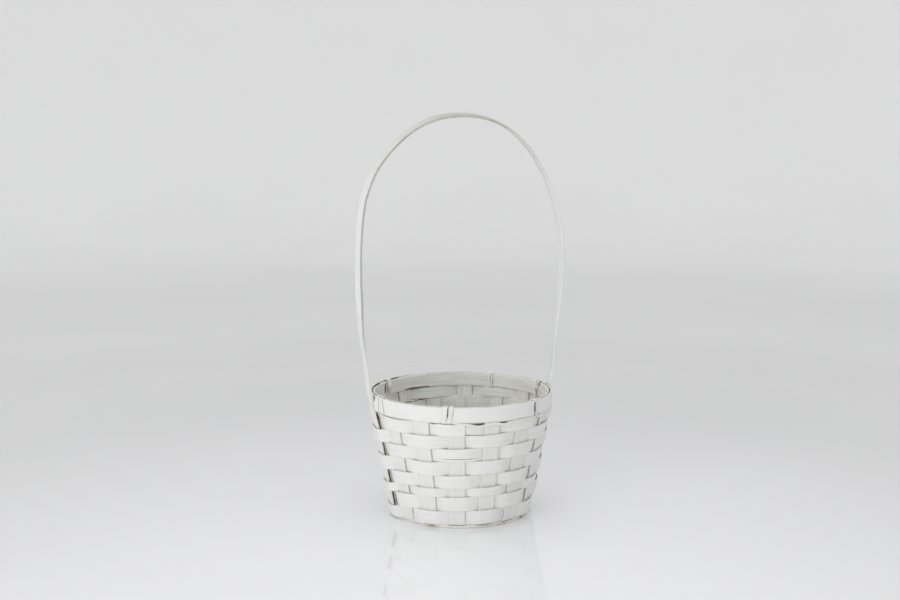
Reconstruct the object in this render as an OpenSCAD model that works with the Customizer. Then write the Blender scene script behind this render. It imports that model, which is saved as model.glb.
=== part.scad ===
// Flower girl basket: a round tapered basket woven from flat wood splints, with a tall fixed hoop handle.
// The origin is the centre of the resting face. +X runs along the handle's span and +Z is up.

/* [Basket wall] */
// Radius of the wall's middle surface at the height of the resting face
wall_foot_r = 67.8; // [64:0.1:72]
// Outward lean of the wall, as radius gained per unit of height
wall_lean = 0.188; // [0.15:0.002:0.19]
// Thickness of the stake and weaver splints
splint_t = 0.9; // [0.7:0.05:1]
// Gap left between pieces that lie against each other
lay_gap = 0.1; // [0.05:0.01:0.15]

/* [Stakes] */
// Width of a stake where it stands in the wall
stake_w = 15.5; // [12:0.1:16]
// Width of a stake splint at its waist, in the middle of the base
waist_w = 9.2; // [7:0.1:9.4]

/* [Weavers] */
// Height of the lowest weaver's bottom edge
lowest_row_z = 4.8; // [4.8:0.1:6]
// Gap between two weaver rows
row_gap = 0.2; // [0.1:0.05:0.25]
// How far a weaver's middle lies outside the wall line where it passes over a stake
weave_out = 2; // [1.9:0.1:3]
// How far a weaver's middle lies inside the wall line where it passes behind a stake
weave_in = 1.2; // [1.15:0.05:1.6]
// How far a weaver's middle lies outside the wall line where it passes over a handle leg
weave_over_leg = 4.5; // [4.4:0.1:5]

/* [Rim] */
// Height of the rim's top edge
rim_top_z = 123.3; // [123.3:0.1:128]
// Height of each rim hoop
rim_hoop_h = 14.7; // [14:0.1:14.7]
// Thickness of each rim hoop
rim_hoop_t = 1.8; // [1.4:0.1:2]
// Free width between the two hoops, which holds the stake tops
rim_slot = 1.4; // [1.3:0.05:1.6]
// Width of the binder strip
binder_w = 4; // [3:0.1:4.2]
// Thickness of the binder strip
binder_t = 0.7; // [0.5:0.05:0.8]

/* [Handle] */
// Width of the handle strip
handle_w = 13; // [10:0.5:13]
// Thickness of the handle strip
handle_t = 2.8; // [2:0.1:2.8]
// Height of the handle's highest point
handle_top_z = 394.6; // [360:0.1:430]
// Distance from the middle to the strip's centre line where the arch is widest
arch_half_span = 105.7; // [98:0.1:110]
// Height at which the arch is widest
arch_widest_z = 238.5; // [210:0.5:260]
// Diameter of a tack's shank
tack_d = 1.2; // [1:0.1:1.4]
// Diameter of a tack's head
tack_head_d = 3.4; // [3:0.1:4]

/* [Foot] */
// Outer radius of the foot hoop
foot_r = 66.5; // [65:0.5:67]
// Width of the foot hoop's flat face
foot_w = 5; // [4:0.5:6]
// Height of the foot hoop
foot_h = 2.4; // [2:0.1:2.5]

/* [Hidden] */

// Stakes are counted from the -X handle leg, anticlockwise seen from above.
stakes = 16;
splints = stakes / 2;
stake_pitch = 360 / stakes;
first_stake_angle = 180;

// Heights of the eight weaver rows, from the top row down; the sixth is a narrow one.
row_heights = [11.8, 12.6, 13, 13.6, 12.9, 8.8, 14.1, 14];
rows = len(row_heights);

// Share of the pitch on each side of a stake over which a weaver lies flat against it.
weave_hold = 0.22;
weave_steps = 6;

// The stakes stand upright from just below the rim hoops.
rim_bottom_z = rim_top_z - rim_hoop_h;
stake_upright_z = rim_bottom_z - 2;
rim_stake_r = wall_r(stake_upright_z);
stake_bow = rim_stake_r - sqrt(pow(rim_stake_r, 2) - pow(stake_w / 2, 2));
outer_hoop_r = rim_stake_r + splint_t / 2 + stake_bow + lay_gap + rim_hoop_t;
inner_hoop_r = outer_hoop_r - rim_hoop_t - rim_slot;
hoop_chamfer = 0.4;

// The stake splints cross in the middle of the base, each one level above the last, and come
// down to one level where their edges stop overlapping.
base_z = foot_h + lay_gap / 2 + splint_t / 2;
stack_z = 1 + splint_t / 2;
stack_step = splint_t + lay_gap / 2;
splint_spread = tan(stake_pitch / 2);
seam_gap = 0.15;
stack_r = (waist_w / 2 + seam_gap) / splint_spread + 0.2;
level_r = (stake_w / 2 + seam_gap) / splint_spread;
corner_in = 2.8;
corner_up = 3.3;

// Positions of the lashings, counted in stake pitches: all lie between two stakes.
lashing_at = [0.37, 2.64, 5.5, 8.37, 10.35, 13.65];
lashing_pitch = binder_w + 0.4;
lashing_corner_r = 1.2;
lashing_mid_z = (rim_top_z + rim_bottom_z) / 2;

// Each binder run spans the space between these two lashings.
binder_spans = [[0, 1], [1, 2], [3, 4], [4, 5]];
binder_run_z = rim_bottom_z - 2.4;
binder_run_w = 4.2;
binder_end_gap = 0.3;

// Handle: the legs lie on the stakes up to the second row, then pass outside the rim.
leg_bottom_z = 6;
leg_clear_z = row_bottom(2) + row_heights[1] - 0.5;
leg_offset = splint_t / 2 + 1.5 * lay_gap + handle_t / 2;
leg_rim_r = outer_hoop_r + lay_gap + handle_t / 2;
leg_straight_z = rim_bottom_z + 9;
arch_steps = 14;
arch_power = 2.2;
tack_z = rim_bottom_z + 5;
tack_head_t = 0.6;

$fn = 96;

function lerp(a, b, t) = a + (b - a) * t;
function clamp01(t) = min(1, max(0, t));
function ease(t) = t * t * (3 - 2 * t);
function unit(v) = v / norm(v);
function wall_r(z) = wall_foot_r + wall_lean * z;

// Normal of a bent path at one of its points, lengthened at a bend so that a strip keeps its thickness.
function path_normal(path, i) =
    let (
        last = len(path) - 1,
        before = unit(path[max(i, 1)] - path[max(i, 1) - 1]),
        after = unit(path[min(i, last - 1) + 1] - path[min(i, last - 1)]),
        along = unit(before + after)
    )
    [-along.y, along.x] / sqrt((1 + before * after) / 2);

// Outline of a strip of thickness t that follows a path.
function strip_outline(path, t) =
    concat(
        [for (i = [0 : len(path) - 1]) path[i] + path_normal(path, i) * t / 2],
        [for (i = [len(path) - 1 : -1 : 0]) path[i] - path_normal(path, i) * t / 2]
    );

// A path over the half x >= 0, completed with its mirror image.
function mirrored(path) =
    concat(
        [for (i = [len(path) - 1 : -1 : 0]) [-path[i].x, path[i].y]],
        [for (i = [(path[0].x == 0 ? 1 : 0) : len(path) - 1]) path[i]]
    );

// Point of a quadratic curve from a to c that is pulled towards b.
function curve(a, b, c, t) = pow(1 - t, 2) * a + 2 * t * (1 - t) * b + t * t * c;

// Side faces of a solid swept through four-cornered sections.
function sweep_faces(count, closed) =
    [
        for (i = [0 : count - (closed ? 1 : 2)], j = [0 : 3])
        let (
            a = 4 * i + j,
            b = 4 * i + (j + 1) % 4,
            c = 4 * ((i + 1) % count) + (j + 1) % 4,
            d = 4 * ((i + 1) % count) + j
        )
        each [[a, b, c], [a, c, d]]
    ];

module sweep(sections, closed = false) {
    count = len(sections);
    ends = closed ? [] : [[3, 2, 1, 0], [for (j = [0 : 3]) 4 * (count - 1) + j]];
    polyhedron([for (s = sections) each s], concat(sweep_faces(count, closed), ends));
}

module at_stake(position) {
    rotate([0, 0, first_stake_angle + stake_pitch * position]) children();
}

// Holes for the two tacks, through the legs, the hoops and the stakes between them.
module tack_holes() {
    for (side = [-1, 1])
        translate([side * leg_rim_r, 0, tack_z])
            rotate([0, 90, 0])
                cylinder(d = tack_d + 0.2, h = 20, center = true);
}

// ---- Stake splints ----

// Half of a splint's path, from the middle of the base out to the corner and up into the rim.
function splint_path(level) =
    let (
        corner = [wall_r(base_z), base_z],
        corner_start = [corner.x - corner_in, base_z],
        corner_end = [wall_r(base_z + corner_up), base_z + corner_up],
        middle_z = stack_z + level * stack_step
    )
    concat(
        [[0, middle_z], [stack_r, middle_z], [level_r, base_z]],
        [for (i = [0 : 5]) curve(corner_start, corner, corner_end, i / 5)],
        [[rim_stake_r, stake_upright_z], [rim_stake_r, rim_top_z - 0.4]]
    );

// Plan of a splint: narrow in the middle of the base, widening as the splints part.
module splint_plan() {
    reach = outer_hoop_r + 5;
    half = [[stack_r, waist_w / 2], [level_r, stake_w / 2], [reach, stake_w / 2]];
    upper = mirrored(half);
    polygon(concat(upper, [for (i = [len(upper) - 1 : -1 : 0]) [upper[i].x, -upper[i].y]]));
}

module stake_splint(number) {
    color("ivory")
        difference() {
            rotate([0, 0, first_stake_angle + stake_pitch * (number - 1)])
                intersection() {
                    rotate([90, 0, 0])
                        linear_extrude(stake_w + 4, center = true)
                            polygon(strip_outline(mirrored(splint_path(number - 1)), splint_t));
                    translate([0, 0, -1])
                        linear_extrude(rim_top_z + 2)
                            splint_plan();
                }
            if (number == 1)
                tack_holes();
        }
}

// ---- Weavers ----

function row_bottom(row) =
    row == rows ? lowest_row_z : row_bottom(row + 1) + row_heights[row] + row_gap;

// A weaver passes behind a stake when its row and the stake's number add up to an odd number.
function stake_offset(row, stake) =
    (row + stake) % 2 == 1 ? -weave_in
    : stake % splints == 0 ? weave_over_leg
    : weave_out;

function weave_offset(row, position) =
    let (
        stake = floor(position),
        share = ease(clamp01((position - stake - weave_hold) / (1 - 2 * weave_hold)))
    )
    lerp(stake_offset(row, stake), stake_offset(row, (stake + 1) % stakes), share);

function weaver_section(row, position) =
    let (
        low = row_bottom(row),
        high = low + row_heights[row - 1],
        middle = weave_offset(row, position),
        inside = middle - splint_t / 2,
        outside = middle + splint_t / 2,
        angle = first_stake_angle + stake_pitch * position
    )
    [
        for (corner = [[inside, low], [outside, low], [outside, high], [inside, high]])
        let (r = wall_r(corner.y) + corner.x)
        [r * cos(angle), r * sin(angle), corner.y]
    ];

module weaver(row) {
    color("floralwhite")
        sweep([for (i = [0 : stakes * weave_steps - 1]) weaver_section(row, i / weave_steps)], closed = true);
}

// ---- Rim ----

module hoop(outer_r, bottom_z) {
    c = hoop_chamfer;
    inner_r = outer_r - rim_hoop_t;
    top_z = bottom_z + rim_hoop_h;
    difference() {
        rotate_extrude()
            polygon([
                [inner_r + c, bottom_z], [outer_r - c, bottom_z], [outer_r, bottom_z + c], [outer_r, top_z - c],
                [outer_r - c, top_z], [inner_r + c, top_z], [inner_r, top_z - c], [inner_r, bottom_z + c]
            ]);
        tack_holes();
    }
}

module outer_rim_hoop() {
    color("white") hoop(outer_hoop_r, rim_bottom_z);
}

module inner_rim_hoop() {
    color("whitesmoke") hoop(inner_hoop_r, rim_bottom_z);
}

// One turn of a lashing round both hoops, seen along the rim: down inside, out under the hoops,
// up outside and back over the top.
function lashing_turn() =
    let (
        stand_off = lay_gap + binder_t / 2,
        left = inner_hoop_r - rim_hoop_t - 3 * lay_gap - binder_t / 2 + lashing_corner_r,
        right = outer_hoop_r + stand_off - lashing_corner_r,
        low = rim_bottom_z - stand_off + lashing_corner_r,
        high = rim_top_z + stand_off - lashing_corner_r,
        centres = [[left, low], [right, low], [right, high], [left, high]]
    )
    [
        for (k = [0 : 3], i = [0 : 3])
        centres[k] + lashing_corner_r * [cos(180 + 90 * k + 30 * i), sin(180 + 90 * k + 30 * i)]
    ];

// Middle line of a lashing as [radius, height, distance along the rim]: two turns side by side,
// with the step from one to the next on the inside of the rim.
function lashing_path() =
    let (
        turn = lashing_turn(),
        inside_r = turn[0].x,
        side = lashing_pitch / 2
    )
    concat(
        [[inside_r, lashing_mid_z - 5, -side]],
        [for (p = turn) [p.x, p.y, -side]],
        [[inside_r, lashing_mid_z + 4, -side], [inside_r, lashing_mid_z - 4, side]],
        [for (p = turn) [p.x, p.y, side]],
        [[inside_r, lashing_mid_z + 5, side]]
    );

function lashing_section(path, i) =
    let (
        flat = [for (p = path) [p.x, p.y]],
        n = path_normal(flat, i) * binder_t / 2,
        centre = flat[i],
        side = path[i].z
    )
    [
        for (corner = [[-1, -1], [-1, 1], [1, 1], [1, -1]])
        let (q = centre + n * corner.y)
        [q.x, side + corner.x * binder_w / 2, q.y]
    ];

module lashing(number) {
    path = lashing_path();
    color("snow")
        at_stake(lashing_at[number - 1])
            sweep([for (i = [0 : len(path) - 1]) lashing_section(path, i)]);
}

// A run of binder strip along the lower edge of the outer hoop, between two lashings.
module binder_run(number) {
    span = binder_spans[number - 1];
    run_r = outer_hoop_r + lay_gap;
    margin = (lashing_pitch / 2 + binder_w / 2 + binder_end_gap) / run_r * 180 / PI;
    start = stake_pitch * lashing_at[span[0]] + margin;
    sweep_angle = stake_pitch * lashing_at[span[1]] - margin - start;
    color("snow")
        rotate([0, 0, first_stake_angle + start])
            rotate_extrude(angle = sweep_angle)
                translate([run_r, binder_run_z])
                    square([binder_t, binder_run_w]);
}

// ---- Handle ----

// Half of the handle's path, from its apex down to the end of the leg.
function handle_path() =
    let (
        top = handle_top_z - handle_t / 2,
        rise = top - arch_widest_z,
        roundness = 2 / arch_power
    )
    concat(
        [[0, top]],
        [
            for (i = [arch_steps - 1 : -1 : 0])
            let (a = 90 * i / arch_steps)
            [arch_half_span * pow(cos(a), roundness), arch_widest_z + rise * pow(sin(a), roundness)]
        ],
        [
            for (i = [arch_steps - 1 : -1 : 0])
            let (share = i / arch_steps)
            [
                lerp(leg_rim_r, arch_half_span, sin(90 * share)),
                lerp(leg_straight_z, arch_widest_z, share)
            ]
        ],
        [
            [leg_rim_r, rim_bottom_z],
            [wall_r(leg_clear_z) + leg_offset, leg_clear_z],
            [wall_r(leg_bottom_z) + leg_offset, leg_bottom_z]
        ]
    );

module handle() {
    color("white")
        difference() {
            rotate([90, 0, 0])
                linear_extrude(handle_w, center = true)
                    polygon(strip_outline(mirrored(handle_path()), handle_t));
            tack_holes();
        }
}

module handle_tacks() {
    head_r = leg_rim_r + handle_t / 2 + lay_gap / 2;
    shank_l = head_r - (inner_hoop_r - rim_hoop_t) - lay_gap;
    color("silver")
        for (turn = [0, 180])
            rotate([0, 0, turn])
                translate([head_r, 0, tack_z])
                    rotate([0, 90, 0]) {
                        cylinder(d = tack_head_d, h = tack_head_t);
                        translate([0, 0, -shank_l])
                            cylinder(d = tack_d, h = shank_l + tack_head_t / 2);
                    }
}

// ---- Foot ----

module foot_hoop() {
    chamfer = 0.5;
    color("antiquewhite")
        rotate_extrude()
            polygon([
                [foot_r - foot_w, 0], [foot_r, 0], [foot_r, foot_h - chamfer],
                [foot_r - chamfer, foot_h], [foot_r - foot_w, foot_h]
            ]);
}

for (i = [1 : splints])
    stake_splint(i);
for (i = [1 : rows])
    weaver(i);
outer_rim_hoop();
inner_rim_hoop();
for (i = [1 : len(lashing_at)])
    lashing(i);
for (i = [1 : len(binder_spans)])
    binder_run(i);
handle();
handle_tacks();
foot_hoop();
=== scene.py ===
import math

import bmesh
import bpy
import numpy as np
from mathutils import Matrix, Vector


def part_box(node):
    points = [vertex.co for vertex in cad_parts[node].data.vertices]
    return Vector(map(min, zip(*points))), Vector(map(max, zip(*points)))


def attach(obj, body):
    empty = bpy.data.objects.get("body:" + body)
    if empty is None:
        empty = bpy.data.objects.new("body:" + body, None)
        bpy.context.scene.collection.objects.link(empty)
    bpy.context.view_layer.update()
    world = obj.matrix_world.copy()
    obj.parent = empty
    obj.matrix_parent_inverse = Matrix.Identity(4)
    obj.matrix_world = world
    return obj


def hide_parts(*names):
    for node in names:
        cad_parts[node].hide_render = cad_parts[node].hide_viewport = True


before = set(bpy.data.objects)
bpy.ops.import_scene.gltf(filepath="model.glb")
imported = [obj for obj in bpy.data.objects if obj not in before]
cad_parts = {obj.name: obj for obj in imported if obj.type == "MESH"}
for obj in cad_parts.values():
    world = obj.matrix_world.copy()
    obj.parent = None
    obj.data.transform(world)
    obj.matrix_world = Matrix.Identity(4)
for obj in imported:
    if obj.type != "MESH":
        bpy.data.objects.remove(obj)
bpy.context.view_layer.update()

MM = 0.001

# ---- Sizes taken from the frame ----

STAKES = 16
PITCH = math.tau / STAKES
ROWS = 8
LASHINGS = 6

outer_rim_lo, outer_rim_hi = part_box("outer_rim_hoop")
inner_rim_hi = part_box("inner_rim_hoop")[1]
foot_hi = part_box("foot_hoop")[1]
handle_lo, handle_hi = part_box("handle")

rim_top = outer_rim_hi.z
rim_bottom = outer_rim_lo.z
rim_middle = (rim_top + rim_bottom) / 2
outer_rim_r = outer_rim_hi.x
inner_rim_r = inner_rim_hi.x
foot_r = foot_hi.x
foot_height = foot_hi.z

HOOP_T = 1.8 * MM
SPLINT_T = 0.9 * MM
BINDER_T = 0.7 * MM
LAY_GAP = 0.1 * MM

# The wall is a cone from the foot to where the stakes turn upright, just below the rim.
upright_z = rim_bottom - 2.0 * MM
foot_wall_r = foot_r + 1.3 * MM
rim_stake_r = outer_rim_r - 2.69 * MM
wall_lean = (rim_stake_r - foot_wall_r) / upright_z


def wall_r(z):
    return foot_wall_r + wall_lean * z


# ---- Small numeric helpers ----

UP = np.array([0.0, 0.0, 1.0])


def unit(v):
    return v / np.linalg.norm(v, axis=-1, keepdims=True)


def smooth(t):
    t = np.clip(t, 0, 1)
    return t * t * (3 - 2 * t)


def bump(x, centre, half_width):
    """A smooth hill of height 1 at centre that ends half_width away."""
    return smooth(1 - np.abs(x - centre) / half_width)


def radial(position):
    """Unit vector away from the axis at a place counted in stake pitches from the -X leg."""
    angle = math.pi + PITCH * np.asarray(position, float)
    return np.stack([np.cos(angle), np.sin(angle), np.zeros_like(angle)], -1)


def tangent(position):
    """Unit vector round the basket, anticlockwise seen from above."""
    r = radial(position)
    return np.stack([-r[..., 1], r[..., 0], np.zeros_like(r[..., 0])], -1)


def round_axis(position, r, z):
    """Points at places counted in pitches, at radii and heights."""
    return radial(position) * r[:, None] + UP * z[:, None]


def wrapped(position, centre):
    """Signed distance round the basket from centre, in stake pitches."""
    return (np.asarray(position, float) - centre + STAKES / 2) % STAKES - STAKES / 2


def waviness(rng, x, wavelength, amount):
    """Seeded smooth variation along x."""
    total = np.zeros_like(np.asarray(x, float))
    for _ in range(5):
        step = wavelength * rng.uniform(0.45, 1.7)
        total += rng.uniform(0.4, 1) * np.sin(math.tau * x / step + rng.uniform(0, math.tau))
    return amount * total / 2


def ring_waviness(rng, position, lowest, highest, amount):
    """Seeded smooth variation that closes after one turn of the basket."""
    total = np.zeros_like(np.asarray(position, float))
    for count in range(lowest, highest + 1):
        total += rng.uniform(-1, 1) * np.sin(count * PITCH * position + rng.uniform(0, math.tau))
    return amount * total / math.sqrt(highest - lowest + 1)


def turned(across, out, angle):
    """Both directions of a strip turned about its path."""
    cos, sin = np.cos(angle), np.sin(angle)
    return across * cos + out * sin, out * cos - across * sin


def path_length(points):
    steps = np.linalg.norm(np.diff(points, axis=0), axis=1)
    return np.concatenate([[0], np.cumsum(steps)])


def path_tangents(points):
    return unit(np.gradient(points, axis=0))


def resampled(points, step):
    """The same path with even steps."""
    length = path_length(points)
    places = np.linspace(0, length[-1], max(4, int(length[-1] / step)))
    return np.stack([np.interp(places, length, points[:, k]) for k in range(points.shape[1])], -1)


def smoothed(points, rounds):
    """The same open path with its bends eased and its ends kept."""
    points = points.copy()
    for _ in range(rounds):
        points[1:-1] = (points[:-2] + 2 * points[1:-1] + points[2:]) / 4
    return points


# ---- Strips of split wood ----

CORNER = ((0.0, 0.0), (0.293, 0.707), (1.0, 1.0))
FACE_SHARES = (0.1, 0.3, 0.5, 0.7, 0.9)
EDGE_BAND = 1.3 * MM
END_BARE = 0.9
# A crack this deep shows bare wood.
BARE_DEPTH = 0.6 * MM


class Strip:
    """A strip of wood swept along a path, with rounded edges, crowned faces and cut ends.

    It carries how near each point is to an edge, how bare the wood is there, which in some places
    stands for painted shade, and whether the point is on the inner face, where the paint is thin.

    points, across and out are given for each step of the path: its middle, the unit vector over
    its width and the unit vector out of its face. half_w and half_t are its half width and half
    thickness, crown is the rise of its middle over its edges, and groove a crack along it as
    (share of the width, half width, depth). bare, edge_bare and inner_bare say how bare the wood
    is all over, at the edges and on the inner face.
    """

    def __init__(self, points, across, out, half_w, half_t, crown=0.0, round_r=0.25 * MM,
                 closed=False, seed=0.0, bare=0.0, edge_bare=0.0, inner_bare=0.0, groove=None):
        self.closed = closed
        half_w, half_t, crown, bare, inner_bare = (
            np.broadcast_to(np.asarray(v, float), (len(points),))
            for v in (half_w, half_t, crown, bare, inner_bare)
        )
        corner_r = np.minimum(round_r, 0.9 * half_t)
        a, t, sunk = self._section(half_w, half_t, corner_r, groove)
        share = (a + half_w[:, None]) / (2 * half_w)[:, None]
        rise = crown[:, None] * (1 - (2 * share - 1) ** 2)
        t = t + rise
        self.points = points[:, None] + across[:, None] * a[..., None] + out[:, None] * t[..., None]
        along = path_length(points)[:, None] + np.zeros_like(a)
        side = np.minimum(a + half_w[:, None], half_w[:, None] - a)
        self.grain = np.stack([along, a + t, np.full_like(a, seed)], -1)
        self.edge = np.clip(1 - side / EDGE_BAND, 0, 1)
        self.inner = np.clip(0.5 - (t - rise) / (1.8 * half_t[:, None]), 0, 1)
        self.bare = bare[:, None] + edge_bare * self.edge ** 3 + inner_bare[:, None] * self.inner + sunk

    def add_bare_and_shade(self, bare):
        """Makes the strip at least this bare; where the mask stands for shade, this is painted shade."""
        self.bare = np.maximum(self.bare, bare)

    @staticmethod
    def _section(half_w, half_t, corner_r, groove):
        """Distances over the width and through the thickness of each point of the sections, and
        how bare the crack leaves it."""
        face = [(share, 0.0) for share in FACE_SHARES if not groove or abs(share - groove[0]) > 0.08]
        if groove:
            centre, half_width, depth = groove
            reach = half_width / (2 * half_w)
            face += [(centre - reach, 0.0), (centre, depth), (centre + reach, 0.0)]
            face.sort(key=lambda place: float(np.mean(place[0])))
        a, t, sunk = [], [], []

        def add(across, through, depth=0.0):
            a.append(across)
            t.append(through)
            sunk.append(depth / BARE_DEPTH + np.zeros_like(half_w))

        for inset, rise in CORNER:
            add(-half_w + corner_r * inset, half_t - corner_r * (1 - rise))
        for share, depth in face:
            add(-half_w + corner_r + share * (2 * half_w - 2 * corner_r), half_t - depth, depth)
        for inset, rise in reversed(CORNER):
            add(half_w - corner_r * inset, half_t - corner_r * (1 - rise))
        for inset, rise in CORNER:
            add(half_w - corner_r * inset, -half_t + corner_r * (1 - rise))
        for share in reversed(FACE_SHARES):
            add(-half_w + corner_r + share * (2 * half_w - 2 * corner_r), -half_t)
        for inset, rise in reversed(CORNER):
            add(-half_w + corner_r * inset, -half_t + corner_r * (1 - rise))
        return np.stack(a, -1), np.stack(t, -1), np.stack(sunk, -1)

    def arrays(self):
        """Vertices, faces and attributes of the strip."""
        count, around = self.points.shape[:2]
        vertices = self.points.reshape(-1, 3)
        layers = {
            "grain": self.grain.reshape(-1, 3),
            "edge": self.edge.ravel(),
            "bare": np.clip(self.bare.ravel(), 0, 1),
            "inner": self.inner.ravel(),
        }
        faces = []
        for i in range(count if self.closed else count - 1):
            here, there = i * around, (i + 1) % count * around
            for j in range(around):
                k = (j + 1) % around
                faces.append((here + j, there + j, there + k, here + k))
        if not self.closed:
            for i, order in ((0, 1), (count - 1, -1)):
                first = len(vertices)
                vertices = np.concatenate([vertices, self.points[i]])
                ends = {"grain": self.grain[i], "edge": self.edge[i], "inner": self.inner[i]}
                ends["bare"] = np.full(around, END_BARE)
                layers = {key: np.concatenate([layers[key], ends[key]]) for key in layers}
                faces.append(tuple(range(first, first + around))[::order])
        return vertices, faces, layers


def bare_and_shade_spots(points, spots):
    """How much bare-wood colour each point takes, for bare wood and for painted shade alike. A spot is
    its place in pitches, its height and its half length along the rim and half height."""
    position = (np.arctan2(points[..., 1], points[..., 0]) - math.pi) / PITCH
    bare = np.zeros(points.shape[:-1])
    for place, height, half_length, half_height in spots:
        along = wrapped(position, place) * PITCH * outer_rim_r
        spot = bump(along, 0, half_length) * bump(points[..., 2], height, half_height)
        bare = np.maximum(bare, np.minimum(1.6 * spot, 1))
    return bare


def add_attribute(mesh, name, values):
    """A value or a vector for each vertex, which the materials read."""
    is_vector = values.ndim == 2
    layer = mesh.attributes.new(name, "FLOAT_VECTOR" if is_vector else "FLOAT", "POINT")
    field = "vector" if is_vector else "value"
    layer.data.foreach_set(field, np.ascontiguousarray(values, dtype=np.float32).ravel())


def build_mesh(name, parts):
    """One mesh of several (vertices, faces, layers) parts; layers holds the vertex attributes."""
    faces = []
    first = 0
    for vertices, part_faces, _ in parts:
        faces += [tuple(first + i for i in face) for face in part_faces]
        first += len(vertices)
    mesh = bpy.data.meshes.new(name)
    mesh.from_pydata(np.concatenate([part[0] for part in parts]).tolist(), [], faces)
    for key in parts[0][2]:
        add_attribute(mesh, key, np.concatenate([part[2][key] for part in parts]))
    form = bmesh.new()
    form.from_mesh(mesh)
    bmesh.ops.recalc_face_normals(form, faces=form.faces)
    for face in form.faces:
        face.smooth = len(face.verts) <= 4
    form.to_mesh(mesh)
    form.free()
    return mesh


def add_piece(name, parts, material, nodes):
    """Links a piece that rides with the basket and stands for its CAD nodes."""
    mesh = build_mesh(name, parts)
    mesh.materials.append(material)
    piece = bpy.data.objects.new(name, mesh)
    bpy.context.scene.collection.objects.link(piece)
    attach(piece, "root")
    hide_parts(*nodes)
    return piece


# ---- Materials ----

# Colours of bare wood, darkened so that they also serve as painted shade in slots and gaps.
BARE_AND_SHADE_LIGHT = (0.23, 0.14, 0.08, 1)
BARE_AND_SHADE_DARK = (0.05, 0.032, 0.02, 1)
THIN_PAINT = (0.82, 0.825, 0.78, 1)
THIN_SHADE = (0.69, 0.685, 0.63, 1)
SEED_RATE = 7.31


class Nodes:
    """Short calls for building a material's node tree."""

    def __init__(self, material):
        material.use_nodes = True
        self.tree = material.node_tree
        self.shader = self.tree.nodes["Principled BSDF"]

    def fill(self, node, inputs):
        """Links or sets the inputs of a node."""
        for key, value in inputs.items():
            if isinstance(value, bpy.types.NodeSocket):
                self.tree.links.new(value, node.inputs[key])
            else:
                node.inputs[key].default_value = value

    def add(self, kind, inputs, output=0, **settings):
        """A new node's output."""
        node = self.tree.nodes.new(kind)
        for key, value in settings.items():
            setattr(node, key, value)
        self.fill(node, inputs)
        return node.outputs[output]

    def object_space(self):
        return self.add("ShaderNodeTexCoord", {}, "Object")

    def attribute(self, name, output="Fac"):
        return self.add("ShaderNodeAttribute", {}, output, attribute_name=name)

    def math(self, operation, a, b=0.0, c=0.0, clamp=False):
        return self.add("ShaderNodeMath", {0: a, 1: b, 2: c}, operation=operation, use_clamp=clamp)

    def noise(self, vector, scale=1.0, detail=2.0, roughness=0.5, distortion=0.0):
        inputs = {"Vector": vector, "Scale": scale, "Detail": detail}
        inputs |= {"Roughness": roughness, "Distortion": distortion}
        return self.add("ShaderNodeTexNoise", inputs, "Fac")

    def remap(self, value, low, high, to_low=0.0, to_high=1.0):
        inputs = {"Value": value, "From Min": low, "From Max": high}
        inputs |= {"To Min": to_low, "To Max": to_high}
        return self.add("ShaderNodeMapRange", inputs, "Result", interpolation_type="SMOOTHSTEP")

    def mix(self, share, a, b):
        return self.add("ShaderNodeMix", {0: share, 6: a, 7: b}, 2, data_type="RGBA")

    def bump(self, height, distance, strength, normal=None):
        inputs = {"Height": height, "Distance": distance, "Strength": strength}
        if normal:
            inputs["Normal"] = normal
        return self.add("ShaderNodeBump", inputs, "Normal")


def grain_space(nodes, along_rate, across_rate):
    """Coordinates that run with the strip: so many cycles a metre along it and across it."""
    inputs = {0: nodes.attribute("grain", "Vector"), 1: (along_rate, across_rate, SEED_RATE)}
    return nodes.add("ShaderNodeVectorMath", inputs, operation="MULTIPLY")


def wood_textures(nodes):
    """Noises that follow the strip: grain lines, streaks, patches, pores and ragged wear."""
    return {
        "fine": nodes.noise(grain_space(nodes, 28, 2300), detail=3, roughness=0.6),
        "broad": nodes.noise(grain_space(nodes, 22, 420), detail=2, distortion=0.4),
        "patches": nodes.noise(grain_space(nodes, 45, 130), detail=3, roughness=0.6),
        "pores": nodes.remap(nodes.noise(grain_space(nodes, 150, 3600), detail=1), 0.66, 0.76),
        "ragged": nodes.noise(grain_space(nodes, 260, 900), detail=4, roughness=0.7),
    }


def paint_colour(nodes, texture, paint, shade, grain, thin):
    """Paint with darker grain lines and pores and lighter patches, thin on the inner face."""
    line = nodes.remap(texture["fine"], 0.5, 0.72)
    colour = nodes.mix(nodes.math("MULTIPLY", line, 0.34 * grain), paint, shade)
    colour = nodes.mix(nodes.remap(texture["broad"], 0.46, 0.78, 0, 0.22), colour, shade)
    lighter = tuple(min(1.0, c * 1.04) for c in paint[:3]) + (1,)
    colour = nodes.mix(nodes.remap(texture["patches"], 0.5, 0.8, 0, 0.6), colour, lighter)
    dark_pore = tuple(c * 0.66 for c in shade[:3]) + (1,)
    colour = nodes.mix(nodes.math("MULTIPLY", texture["pores"], 0.4 * grain), colour, dark_pore)
    thin_colour = nodes.mix(nodes.remap(texture["broad"], 0.35, 0.7), *thin)
    cover = nodes.remap(texture["patches"], 0.25, 0.6, 0.95, 0.75)
    return nodes.mix(nodes.math("MULTIPLY", nodes.attribute("inner"), cover), colour, thin_colour)


def bare_and_shade_share(nodes, texture, wear):
    """How much bare-wood colour shows: ragged wear at the edges, and bare wood and painted shade where
    marked.
    """
    ragged = texture["ragged"]
    at_edge = nodes.remap(nodes.attribute("edge"), 0.35, 1.0)
    worn_edge = nodes.math("MULTIPLY", at_edge, nodes.remap(ragged, 0.54, 0.66))
    amount = nodes.math("ADD", nodes.math("MULTIPLY", nodes.attribute("inner"), 0.45), 0.3 * wear)
    marked_bare_and_shade = nodes.math("ADD", nodes.attribute("bare"), nodes.math("MULTIPLY", ragged, 0.75))
    marked_bare_and_shade = nodes.remap(marked_bare_and_shade, 0.72, 0.98)
    return nodes.math("ADD", nodes.math("MULTIPLY", worn_edge, amount), marked_bare_and_shade, clamp=True)


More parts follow.
